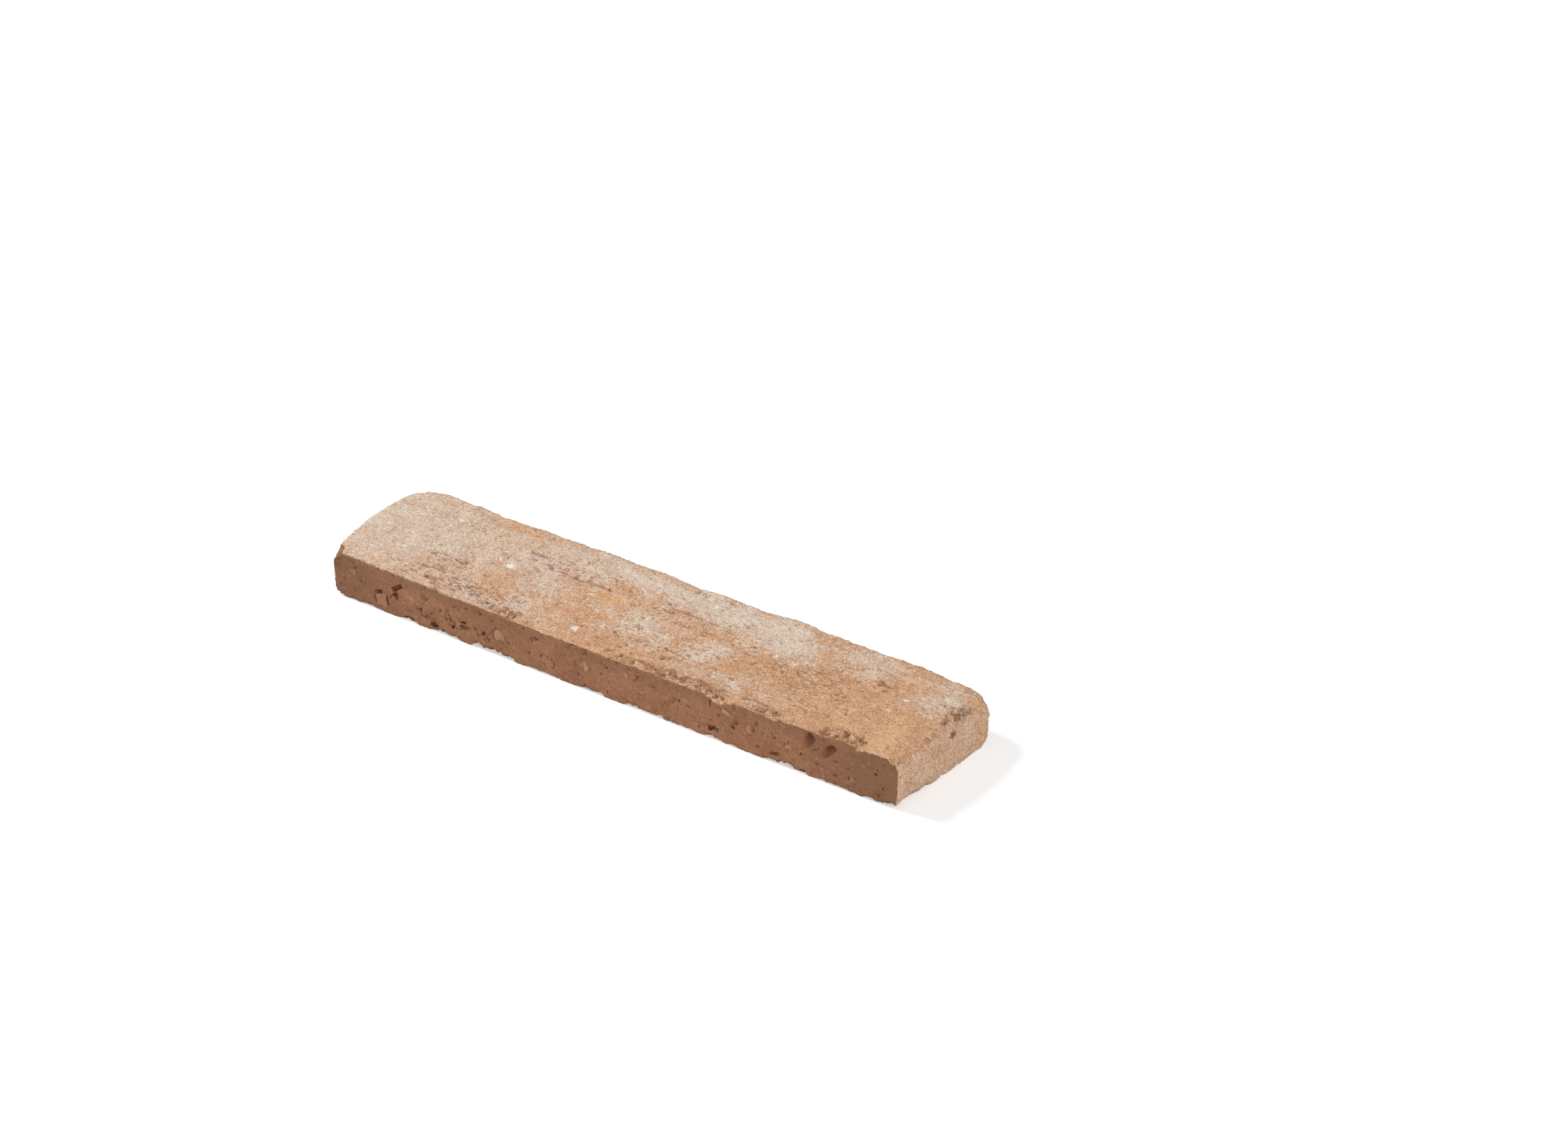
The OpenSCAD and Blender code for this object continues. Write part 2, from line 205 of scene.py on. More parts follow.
# Pellets of other clay, each in a cracked ring: x, z, half length, half height, tilt, paleness
PELLETS = [
    (-82.5, 4, 2.4, 2.2, 0, 0.35), (-36.8, 7.2, 2.0, 1.8, 20, 0.65), (-18.5, 4.8, 2.2, 1.7, -20, 0.15),
    (-3.8, 7.9, 1.1, 1.0, 0, 0.8), (10.8, 10.4, 0.9, 0.9, 0, 0.4), (46, 10.8, 1.5, 0.8, -10, 0.9),
    (54.5, 8, 1.2, 1.3, 0, 0.6), (-93.5, 10.6, 1.0, 0.8, 0, 0.5), (-70.5, 8.6, 0.9, 0.7, 0, 0.5),
    (32.5, 9.6, 0.8, 0.6, 0, 0.5), (67.5, 7.6, 0.9, 0.7, 0, 0.4), (89.5, 4.6, 1.2, 0.8, 10, 0.4),
]
# Chips off the bottom edge: x, length, height
BOTTOM_CHIPS = [
    (-101.3, 7, 1.7), (-89.5, 14, 0.9), (-72, 7, 2.1), (-59.5, 6, 1.9), (-55, 6, 1.5), (-45.5, 4, 2.9),
    (-39.5, 9, 2.4), (-33.5, 5, 2.3), (-20.5, 14, 0.9), (-4.5, 4, 1.3), (0.5, 4, 1.4),
    (13.5, 7, 1.8), (19, 4, 1.5), (22.5, 3, 1.8), (30.5, 12, 0.9), (41, 5, 1.7),
    (48.5, 4, 1.2), (61.5, 5, 1.5), (66.5, 6, 2.3), (72.5, 4, 1.6), (83.5, 16, 0.9),
    (95.5, 5, 1.4), (101.5, 6, 1.9),
]
# Chips off the bottom edge of the right end: y, length, height, and of the back: x, length, height
END_CHIPS = [(6, 12, 2.6), (13, 7, 2.0), (21, 5, 1.2), (46, 6, 2.2)]
BACK_CHIPS = [(-80, 12, 1.6), (-38, 8, 1.9), (-12, 14, 1.1), (28, 9, 2.0), (60, 16, 1.2), (92, 10, 2.2)]
# Chips off the top edge of the sawn side: x, length, height
TOP_CHIPS = [
    (-13.2, 3, 1.3), (44.5, 9, 1.8), (40, 3, 0.9), (61.5, 6, 0.7), (79.5, 5, 0.6),
    (90.5, 6, 1.0), (25.5, 4, 0.7), (17.5, 3, 0.5), (9.5, 3, 0.4), (103.1, 4, 1.4),
]


def lattice(cell, seed):
    """A number from 0 to 1 for each cell of a whole-number lattice, always the same for the same seed."""
    mixed = cell[..., 0] * 73856093 ^ cell[..., 1] * 19349663 ^ cell[..., 2] * 83492791 ^ seed * 2654435761
    bits = mixed.astype(np.uint32)
    for shift, factor in ((16, 0x7FEB352D), (15, 0x846CA68B)):
        bits = (bits ^ (bits >> np.uint32(shift))) * np.uint32(factor)
    return (bits ^ (bits >> np.uint32(16))) / 2.0 ** 32


CORNERS = np.array([(i, j, k) for i in (0, 1) for j in (0, 1) for k in (0, 1)])
NEIGHBOURS = np.array([(i, j, k) for i in (-1, 0, 1) for j in (-1, 0, 1) for k in (-1, 0, 1)])


def lumpy(points, size, seed):
    """Smooth noise from about -1 to 1, with lumps of the given size in mm, or of one size for each axis."""
    q = points / np.asarray(size, float)
    cell = np.floor(q).astype(np.int64)
    part = q - cell
    smooth = part ** 3 * (part * (part * 6 - 15) + 10)
    total = np.zeros(len(points))
    for corner in CORNERS:
        slope = np.stack([lattice(cell + corner, seed + axis) * 2 - 1 for axis in range(3)], -1)
        weight = np.prod(np.where(corner, smooth, 1 - smooth), axis=1)
        total += weight * ((part - corner) * slope).sum(1)
    return total * 1.9


def rugged(points, size, seed, layers=3):
    """Noise from about -1 to 1 whose lumps carry smaller lumps."""
    share = 1 / sum(0.5 ** k for k in range(layers))
    return sum(share * 0.5 ** k * lumpy(points, np.asarray(size) / 2 ** k, seed + 10 * k) for k in range(layers))


def grains(points, size, seed):
    """The grain that each point lies in: distance to its middle and to its rim, its own number and its facet."""
    q = points / size
    cell = np.floor(q).astype(np.int64)
    near = np.full(len(points), 9.0)
    second = near.copy()
    own = np.zeros(len(points))
    facet = np.zeros(len(points))
    for step in NEIGHBOURS:
        other = cell + step
        numbers = np.stack([lattice(other, seed + axis) for axis in range(3)], -1)
        way = q - other - numbers
        d = (way ** 2).sum(1)
        closer = d < near
        second = np.where(closer, near, np.minimum(second, d))
        near = np.where(closer, d, near)
        own = np.where(closer, numbers[:, 0], own)
        facet = np.where(closer, (way * (2 * numbers[:, [1, 2, 0]] - 1)).sum(1), facet)
    return np.sqrt(near), np.sqrt(second) - np.sqrt(near), own, facet


def jagged(points, size, seed):
    """Shifts in mm along two ways that change from grain to grain, for outlines that look broken."""
    _, _, own, facet = grains(points, size, seed)
    return 0.7 * size * (own - 0.5), 0.5 * size * facet


def ramp(value, low, high):
    """0 below low, 1 above high, and smooth between."""
    t = np.clip((value - low) / (high - low), 0, 1)
    return t * t * (3 - 2 * t)


def oval(u, v, place, half_l, half_w, tilt=0.0):
    """1 at the middle of an oval, 0 at its rim and below 0 outside."""
    c, s = math.cos(math.radians(tilt)), math.sin(math.radians(tilt))
    du, dv = u - place[0], v - place[1]
    return 1 - ((du * c + dv * s) / half_l) ** 2 - ((dv * c - du * s) / half_w) ** 2


def hollow(share):
    """Section of a hollow with steep sides and a soft floor."""
    return np.clip(share, 0, 1) ** 0.7


def way_off(u, v, points):
    """Distance from each place to a line through the points."""
    best = np.full(len(u), 1e9)
    for (u0, v0), (u1, v1) in zip(points, points[1:]):
        run = np.array([u1 - u0, v1 - v0])
        t = np.clip(((u - u0) * run[0] + (v - v0) * run[1]) / (run @ run), 0, 1)
        best = np.minimum(best, np.hypot(u - u0 - t * run[0], v - v0 - t * run[1]))
    return best


def ground(u, v, patches):
    """Strength of soft oval patches."""
    return np.max([w * np.exp(-((u - x) / rx) ** 2 - ((v - y) / ry) ** 2) for x, y, rx, ry, w in patches], axis=0)


def ragged(along, chips, points, seed, plain=0.3):
    """Height that is lost from an edge: the chips in the list, and a ragged line between them."""
    _, _, own, facet = grains(points, 1.8, seed + 4)
    broken = own - 0.5 + facet
    lost = plain * (0.7 + 0.5 * rugged(points, 3.2, seed, 3) + 0.9 * broken + 0.5 * lumpy(points, 15, seed + 5))
    for place, length, height in chips:
        share = np.clip(1 - ((along - place) / (length / 2)) ** 2, 0, 1)
        lost = np.maximum(lost, height * share ** 0.45 * (0.85 + 0.2 * rugged(points, 2.2, seed + 2) + 0.4 * broken))
    return np.clip(lost, 0.02, None)


def groove(across, points):
    """Broken line of hollows just behind the front arris."""
    middle = 2.3 + 0.8 * lumpy(points * (1, 0, 0), 9, 155)
    return np.clip(1 - abs(across - middle) / 0.8, 0, 1) * ramp(lumpy(points * (1, 0, 0), 4, 157), -0.1, 0.3)


def furthest(at, along, out, step=1.3):
    """The largest value of out near each place, from points that lie along a line."""
    places = np.arange(along.min(), along.max() + step, step)
    most = [out[abs(along - place) < step].max(initial=-1e3) for place in places]
    return np.interp(at, places, most)


class Slip:
    """The points of the slip's fine mesh in mm, where they lie, and the relief that they are given."""

    def __init__(self, mesh, sizes):
        count = len(mesh.vertices)
        self.at = np.empty((count, 3), np.float32)
        mesh.vertices.foreach_get("co", self.at.ravel())
        self.at = self.at.astype(float) / MM
        out = np.empty((count, 3), np.float32)
        mesh.vertex_normals.foreach_get("vector", out.ravel())
        self.out = out.astype(float)
        self.start = self.at.copy()
        self.sizes = sizes
        self.x, self.y, self.z = self.start.T
        self.across = self.y - SAWN_Y
        self.front_top, left, right = self.sawn_outline()
        inside = ramp(self.front_top - self.z, 0.1, 0.6) * ramp(self.x - left, 0.3, 1.0) * ramp(right - self.x, 0.3, 1.0)
        flat = ramp(-self.out[:, 1], 0.8, 0.95) * ramp(self.across, 1.0, 0.4)
        self.sawn = np.maximum(inside * ramp(self.across, 4.2, 3.4), flat)
        self.under = ramp(-self.out[:, 2], 0.8, 0.95) * ramp(self.z, 0.8, 0.2)
        self.face = ramp(self.out[:, 2], 0.35, 0.8) * (1 - self.sawn)
        self.skin = np.clip(1 - self.sawn - self.under, 0, 1)
        self.pit_shade = np.zeros(count)

    def sawn_outline(self):
        """Top of the sawn side above each point, and the left and right end of the sawn side."""
        on_side = (self.across < 0.6) & (self.out[:, 1] < -0.7)
        x, z = self.x[on_side], self.z[on_side]
        return furthest(self.x, x, z), x.min(), x.max()

    def weathered(self):
        """Height of the relief on the moulded and weathered skin, and how deep its hollows are."""
        p = self.start
        size = self.sizes
        streaky = ramp(self.x + 1.2 * self.across, -62, -40) * self.face
        shift_x, shift_y = jagged(p, 1.3, 71)
        warped_x = self.x + 0.6 * rugged(p, 2.6, 73) + shift_x
        warped_y = self.across + 0.6 * rugged(p, 2.6, 75) + 0.8 * shift_y
        near, _, own, _ = grains(p, 1.7, 3)
        height = size.grain / MM * (lumpy(p, 1.15, 1) + 0.6 * lumpy(p, 2.3, 5) + 0.8 * (own > 0.85) * (1 - near))
        height += size.swell / MM * (rugged(p, 9, 11) + 0.8 * lumpy(p, 24, 15) * self.face)
        side = 1 - self.face
        height += side * (0.3 * rugged(p, 6, 21) + 0.2 * lumpy(p, 1.5, 25) + 0.25 * (0.5 - near))
        drag = lumpy(p, (7, 1.5, 6), 31) + 0.7 * lumpy(p, (3.6, 1.0, 6), 35)
        height -= streaky * size.drag / MM * np.clip(drag - 0.1, 0, None)
        flaked = rugged(p, (11, 6, 8), 41)
        height += streaky * size.flake / MM * (ramp(flaked, -0.02, 0.08) - 0.5)
        crack = np.clip(1 - abs(rugged(p, (6, 2.6, 6), 141, 2)) / 0.05, 0, 1) * ramp(lumpy(p, 7, 145), -0.1, 0.2)
        height -= streaky * size.crack / MM * crack
        loose = 0.5 * lumpy(p, 9, 147) + ground(self.x, self.across, CRUMBS)
        crumbling = np.maximum(ramp(self.across, 7, 3), ramp(self.x, 99, 102)) * self.face * ramp(loose, 0.25, 0.7)
        self.crumbling = crumbling
        _, rim, tall, facet = grains(p + 0.4 * lumpy(p, 1.7, 149)[:, None], 2.8, 151)
        height += crumbling * size.crumb / MM * (0.7 * tall - 0.5 + 0.6 * facet)
        between = crumbling * ramp(rim, 0.3, 0.1) * ramp(lumpy(p, 3, 159), -0.35, 0.05)
        lip = ramp(self.across, 1.6, 0.7) * (0.4 + 1.6 * rugged(p * (1, 0, 0), 5, 153)) - 1.1 * groove(self.across, p)
        height += self.face * ramp(self.x, -72, -60) * size.lip / MM * lip
        gap = np.clip(2 * lumpy(p, 1.5, 161), -0.6, 1)
        bent_y = self.across + 0.5 * rugged(p, 3, 77) + 0.5 * shift_y
        open_share = ramp(lumpy(p, 5, 163), -0.5, -0.1)
        deep = 0.8 * between
        for half, depth, points in CREASES:
            share = np.clip(1.1 - way_off(self.x, bent_y, points) / half, 0, 1)
            deep = np.maximum(deep, depth * share * open_share * self.face)
        for x, y, r, depth in PITS:
            share = oval(warped_x, warped_y, (x, y), r, r * 0.6, 20) - 0.5 * gap
            deep = np.maximum(deep, depth * hollow(share) * self.face)
        for x, y, half_l, half_w, depth in self.scattered():
            share = oval(warped_x, warped_y, (x, y), half_l, half_w, -6)
            deep = np.maximum(deep, depth * hollow(share) * self.face)
        for x, y, r, rise in LUMPS:
            height += rise * np.clip(oval(warped_x, warped_y, (x, y), r, r), 0, 1) * self.face
        return height - deep, deep

    def scattered(self):
        """Small pits and short dashes spread over the face, closest together along the front of its tan part."""
        random = np.random.default_rng(4)
        pits = []
        while len(pits) < self.sizes.small_pits:
            x, y = random.uniform(-102, 104), random.uniform(1, 45)
            keep = 0.05 + 0.35 * (x > -58) + 0.5 * (-76 < x < -30 and y < 12) + 0.3 * (x > -10 and y < 12)
            half_w = random.uniform(0.35, 0.65)
            half_l = half_w * random.uniform(1.0, 3.6)
            if random.random() < keep:
                pits.append((x, y, half_l, half_w, 0.7 * half_w + 0.15))
        return pits

    def cut(self):
        """Depth of the voids, pores and cracks that the saw opened in its side, and paleness of the pellets."""
        p = self.start
        shift_x, shift_z = jagged(p, 1.3, 81)
        shift_x += 0.5 * rugged(p, 2.4, 83)
        shift_z += 0.5 * rugged(p, 2.4, 85)
        deep = np.zeros(len(p))
        pale = np.zeros(len(p))
        for x, z, half_l, half_h, tilt, depth in VOIDS:
            give = min(half_h + 0.15, 1)
            share = oval(self.x + give * shift_x, self.z + give * shift_z, (x, z), half_l, half_h, tilt)
            deep = np.maximum(deep, depth * hollow(share))
        self.dent = self.bubbles(self.x + 0.3 * shift_x, self.z + 0.3 * shift_z)
        deep[self.dent >= 0] = 0
        u = self.x + shift_x
        v = self.z + shift_z
        for x, z, half_l, half_h, tilt, paleness in PELLETS:
            share = oval(u, v, (x, z), half_l, half_h, tilt)
            broken = ramp(rugged(p, 2.0, 87), -0.25, 0.15)
            deep = np.maximum(deep, 0.75 * broken * np.clip(1 - abs(share + 0.25) / 0.35, 0, 1))
            pale = np.maximum(pale, paleness * ramp(share, -0.05, 0.15))
        random = np.random.default_rng(9)
        for _ in range(self.sizes.small_pores):
            x, z = random.uniform(-101, 104), random.uniform(0.8, 15.2)
            r = random.uniform(0.25, 0.55)
            deep = np.maximum(deep, r * 1.2 * hollow(oval(u, v, (x, z), r * random.uniform(1, 1.7), r, 20)))
        _, rim, own, facet = grains(p + 0.5 * lumpy(p, 1.6, 95)[:, None], 2.6, 93)
        self.loose = ramp(ground(self.x, self.z, LOOSE) + 0.3 * lumpy(p, 3, 97), 0.3, 0.7) * self.sawn
        gone = np.maximum(ramp(rim, 0.16, 0.04) * ramp(lumpy(p, 2.2, 99), -0.1, 0.15), 0.5 * (own > 0.75) * (1 + facet))
        deep = np.maximum(deep, 0.7 * self.loose * gone)
        return deep * self.sawn, pale * self.sawn

    def bubbles(self, u, v):
        """Depth of the large bubbles below the sawn side, and -1 away from them."""
        depth = np.zeros(len(u))
        there = np.zeros(len(u), bool)
        for x, z, half_l, half_h, tilt, most in BUBBLES:
            share = oval(u, v, (x, z), half_l, half_h, tilt)
            lean = (u - x - v + z) / (half_l + half_h)
            depth = np.maximum(depth, most * np.clip(share, 0, 1) ** 0.35 * np.clip(0.45 - lean, 0, 1))
            there |= share > 0
        for x, z, r in OPENINGS:
            there |= np.hypot(self.x - x, self.z - z) < r
        return np.where(there & (self.sawn > 0.5), depth, -1)

    def relieve(self):
        """Moves the points out and in by the relief."""
        height, deep = self.weathered()
        cut_deep, self.pale = self.cut()
        height = height * self.skin - cut_deep - 0.05 * np.clip(lumpy(self.start, 3, 91), 0, None) * self.sawn
        self.at += self.out * height[:, None]
        self.at[:, 2] = np.where(self.under > 0.5, self.start[:, 2], self.at[:, 2])
        torn = (self.sawn > 0.5) & (self.dent < 0)
        self.at[torn, 1] = np.minimum(self.at[torn, 1], SAWN_Y + VOID_DEPTH)
        dented = self.dent >= 0
        self.at[dented] = self.start[dented]
        self.at[dented, 1] = SAWN_Y + self.dent[dented]
        # How much painted shade each pit, crease, void, crumb gap and bubble gets: more where it is deeper.
        self.pit_shade = np.clip(np.maximum(np.maximum(deep, cut_deep) / 0.8, 0.27 * self.dent), 0, 1)
        self.height = height

    def break_edge(self, inward, depth, height, lost, slope, up=1):
        """Cuts an edge back to a ragged slope. Depth and height are the distances in from its two sides."""
        part = np.clip(1 - np.clip(height, 0, None) / lost - np.clip(depth, 0, None) / (slope * lost), 0, None)
        self.at += (part * lost / 2)[:, None] * (slope * np.array(inward, float) + (0, 0, up))
        self.broken = np.maximum(self.broken, ramp(part, 0, 0.1))

    def chip_edges(self):
        """Breaks the arrises of the sawn side and the bottom edge all round."""
        self.broken = np.zeros(len(self.at))
        p = self.start
        flat = p * (1, 1, 0.3)
        lost = ragged(self.x, BOTTOM_CHIPS, flat, 101)
        self.break_edge((0, 1, 0), self.at[:, 1] - SAWN_Y, self.at[:, 2], lost, 1.3)
        low = (self.z < 5) & (self.across > 0.5)
        ends = low & (abs(self.out[:, 0]) > 0.7)
        back = low & (self.out[:, 1] > 0.7)
        for way, along, out, chips, seed in (
            ((-1, 0, 0), self.y[ends & (self.x > 0)], self.x[ends & (self.x > 0)], END_CHIPS, 121),
            ((1, 0, 0), self.y[ends & (self.x < 0)], -self.x[ends & (self.x < 0)], END_CHIPS[:1], 125),
            ((0, -1, 0), self.x[back], self.y[back], BACK_CHIPS, 129),
        ):
            places, reach = (self.x, -self.at @ way) if way[1] else (self.y, -self.at @ way)
            lost = ragged(self.across if way[0] else self.x, chips, flat, seed, 0.5)
            depth = np.where(low | (self.under > 0.5), furthest(places, along, out) - reach, 9)
            self.break_edge(way, depth, self.at[:, 2], lost, 1.2)
        crumbly = 0.4 + 0.6 * ramp(self.x, -8, 8)
        lost = ragged(self.x, TOP_CHIPS, flat, 111, 0.35) * crumbly
        down = np.where(self.z > 8, self.front_top - self.at[:, 2], 9)
        self.break_edge((0, 1, 0), self.at[:, 1] - SAWN_Y, down, lost, 1.6, -1)
        self.at[:, 2] = np.clip(self.at[:, 2], 0, None)

    def finishes(self):
        """Where each finish lies, and how much painted shade the hollows get, from 0 to 1 at every point, for the
        material.
        """
        p = self.start
        patchy = 0.4 * rugged(p, (9, 6, 8), 51) + 0.12 * lumpy(p, 1.6, 55)
        streaky = 0.35 * lumpy(p, (10, 1.6, 8), 57) + 0.2 * lumpy(p, (5, 0.9, 6), 58)
        sand = ground(self.x, self.across, SAND_GROUND) + 0.8 * patchy + 0.5 * streaky
        lime = ground(self.x, self.across, LIME_GROUND) + patchy + 0.5 * streaky
        ochre = ground(self.x, self.across, OCHRE_GROUND) + 0.7 * patchy + 0.3 * streaky
        side = 1 - self.face
        chalk = np.zeros(len(p))
        warped_x = self.x + 0.5 * lumpy(p, 1.5, 61)
        for x, y, r in CHALK:
            chalk = np.maximum(chalk, ramp(oval(warped_x, self.across, (x, y), r, r), 0, 0.3) * self.face)
        corner = ramp(self.x + 0.7 * self.across + 1.2 * lumpy(p, 3, 67), -97.4, -98.6) * ramp(self.z, 9, 11)
        dashed = ground(self.x, self.across, DASHED) + 0.3 * lumpy(p, 5, 63)
        edge = np.maximum(ramp(self.across, 2.2, 1.0) * self.face, ramp(self.across, 1.0, 0.4) * ramp(self.z, 8, 11))
        lip = edge * ramp(self.x, -45, -20)
        below = self.front_top - self.z + 0.8 * lumpy(p, 5, 65)
        soft = 0.55 * ramp(below, 1.4, 0.0) * ramp(self.x, -45, -60) * self.sawn
        return {
            "moulded": np.clip(self.skin + self.broken * ramp(self.z, 8, 11) + soft, 0, 1) * (1 - corner),
            # The sides are less sandy: partly the ends' own orange-brown, partly painted shade that keeps the left end,
            # where it turns to the key lamp, from looking brighter.
            "sand": np.maximum(np.clip(sand, 0, 1) * (1 - 0.35 * side), 0.42 * side) * (1 - 0.75 * lip),
            "lime": np.clip(1.15 * lime, 0, 1) * (1 - 0.7 * side),
            "ochre": np.maximum(ramp(ochre, 0.15, 0.8), 0.35 * lip) * (1 - 0.6 * side),
            "chalk": chalk,
            "dashed": np.clip(dashed, 0, 1) * self.face,
            "rim": np.maximum(0.5 * ramp(below, 5.5, 1.5), ramp(abs(self.x), 66, 94)) * self.sawn + 1.5 * corner,
            "pellet": self.pale,
            # Painted shade in the hollows, by their depth.
            "hollow": self.pit_shade,
            "loose": np.clip(self.loose + self.crumbling + 0.25 * dashed * self.face, 0, 1),
        }


def fine_mesh(node, step, under_step):
    """An even mesh of the CAD solid, with fewer faces over its flat underside."""
    work = bpy.data.objects.new("fine_mesh", node.data.copy())
    bpy.context.scene.collection.objects.link(work)
    even = work.modifiers.new("even", "REMESH")
    even.mode = "VOXEL"
    even.voxel_size = step
    even.use_smooth_shade = True
    bake(work)
    group = work.vertex_groups.new(name="underside")
    border = 5 * MM
    flat = [
        v.index for v in work.data.vertices
        if v.co.z < 0.05 * MM and v.co.y > SAWN_Y * MM + border and v.co.y < (BACK_Y - 7) * MM
        and abs(v.co.x) < (HIGH.x - 12) * MM
    ]
    group.add(flat, 1.0, "REPLACE")
    total = len(work.data.vertices)
    thin = work.modifiers.new("thin", "DECIMATE")
    thin.vertex_group = group.name
    thin.ratio = (total - len(flat) * (1 - (step / under_step) ** 2)) / total
    bake(work)
    mesh = work.data
    bpy.data.objects.remove(work)
    return mesh


def bake(work):
    """Gives the object the mesh that its modifiers make."""
    graph = bpy.context.evaluated_depsgraph_get()
    mesh = bpy.data.meshes.new_from_object(work.evaluated_get(graph))
    work.modifiers.clear()
    work.data = mesh


def lay_out(mesh, slip):
    """A flat layout of the skin: the face in two halves, the sides in strips, the underside small."""
    loops = np.empty(len(mesh.loops), np.int32)
    mesh.loops.foreach_get("vertex_index", loops)
    starts = np.empty(len(mesh.polygons), np.int32)
    mesh.polygons.foreach_get("loop_start", starts)
    sizes = np.empty(len(mesh.polygons), np.int32)
    mesh.polygons.foreach_get("loop_total", sizes)
    middle = np.add.reduceat(slip.start[loops], starts) / sizes[:, None]
    out = np.add.reduceat(slip.out[loops], starts) / sizes[:, None]
    face = out[:, 2] > 0.6
    under = out[:, 2] < -0.6
    ends = ~face & ~under & (abs(out[:, 0]) > abs(out[:, 1]))
    front = ~face & ~under & ~ends & (out[:, 1] < 0)
    back = ~face & ~under & ~ends & (out[:, 1] > 0)
    right = middle[:, 0] > 0
    x, y, z = slip.start[loops].T
    half = HIGH.x + 1
    tall = HIGH.z + 2
    wide = HIGH.y - LOW.y + 1
    sheet = half + wide
    uv = np.zeros((len(loops), 2))

    def place(faces, u, v, u0, v0):
        picked = np.repeat(faces, sizes)
        uv[picked, 0] = (u[picked] + u0) / sheet
        uv[picked, 1] = (v[picked] + v0) / sheet

    v0 = 1.0
    for faces, side in ((face & ~right, half), (face & right, 0.5)):
        place(faces, x, y, side, v0 - LOW.y)
        v0 += wide
    for faces, side in ((front & ~right, half), (front & right, 0.5), (back & ~right, half)):
        place(faces, x, z, side, v0)
        v0 += tall
    place(back & right, z, x, half + 2, 1)
    place(under, (y - LOW.y) / 2, (x - LOW.x) / 2, half + 2 + tall, 1)
    place(ends & right, y, z, half + 1 - LOW.y, half + 3)
    place(ends & ~right, y, z, half + 1 - LOW.y, half + 3 + tall)
    layer = mesh.uv_layers.new(name="OFBake")
    layer.data.foreach_set("uv", np.clip(uv, 0.001, 0.999).ravel().astype(np.float32))


class Recipe:
    """Adds nodes to a material. A value that is a socket is linked, and any other is set."""

    def __init__(self, material):
        self.tree = material.node_tree

    def add(self, kind, settings=(), **values):
        node = self.tree.nodes.new(kind)
        for name, value in dict(settings).items():
            setattr(node, name, value)
        for name, value in values.items():
            self.fill(node.inputs[name.replace("_", " ")], value)
        return node

    def fill(self, socket, value):
        if isinstance(value, bpy.types.NodeSocket):
            self.tree.links.new(value, socket)
        elif isinstance(value, tuple) and len(value) == 3 and socket.type == "RGBA":
            socket.default_value = (*value, 1)
        else:
            socket.default_value = value

    def mix(self, factor, first, second, kind="MIX"):
        """The first colour where the factor is 0, the second where it is 1."""
        node = self.add("ShaderNodeMix", {"data_type": "RGBA", "blend_type": kind})
        for number, value in ((0, factor), (6, first), (7, second)):
            self.fill(node.inputs[number], value)
        return node.outputs[2]

    def maths(self, kind, first, second):
        node = self.add("ShaderNodeMath", {"operation": kind})
        self.fill(node.inputs[0], first)
        self.fill(node.inputs[1], second)
        return node.outputs[0]

    def spread(self, value, low, high, bottom=0.0, top=1.0):
        """The value's range from low to high, stretched to bottom and top and held there."""
        node = self.add("ShaderNodeMapRange", Value=value, From_Min=low, From_Max=high, To_Min=bottom, To_Max=top)
        return node.outputs[0]

    def noise(self, where, size, detail=3.0):
        """Noise from 0 to 1 with lumps of the given size in mm."""
        node = self.add("ShaderNodeTexNoise", Vector=where, Scale=1 / size, Detail=detail, Roughness=0.6)
        return node.outputs[0]

    def cells(self, where, size):
        """Each grain's own number from 0 to 1, for grains of the given size in mm."""
        node = self.add("ShaderNodeTexVoronoi", Vector=where, Scale=1 / size)
        return self.add("ShaderNodeSeparateColor", Color=node.outputs["Color"]).outputs[0]

    def at(self, name):
        """A finish that is stored on the mesh's points."""
        return self.add("ShaderNodeAttribute", {"attribute_name": name}).outputs["Fac"]


def summed(r, *parts):
    """Sum of values, each given with its factor, that is 0.5 where every value is 0.5."""
    total = 0.5
    for value, factor in parts:
        node = r.add("ShaderNodeMath", {"operation": "MULTIPLY_ADD"})
        r.fill(node.inputs[0], r.maths("SUBTRACT", value, 0.5))
        node.inputs[1].default_value = factor
        r.fill(node.inputs[2], total)
        total = node.outputs[0]
    return r.spread(total, 0.0, 1.0)


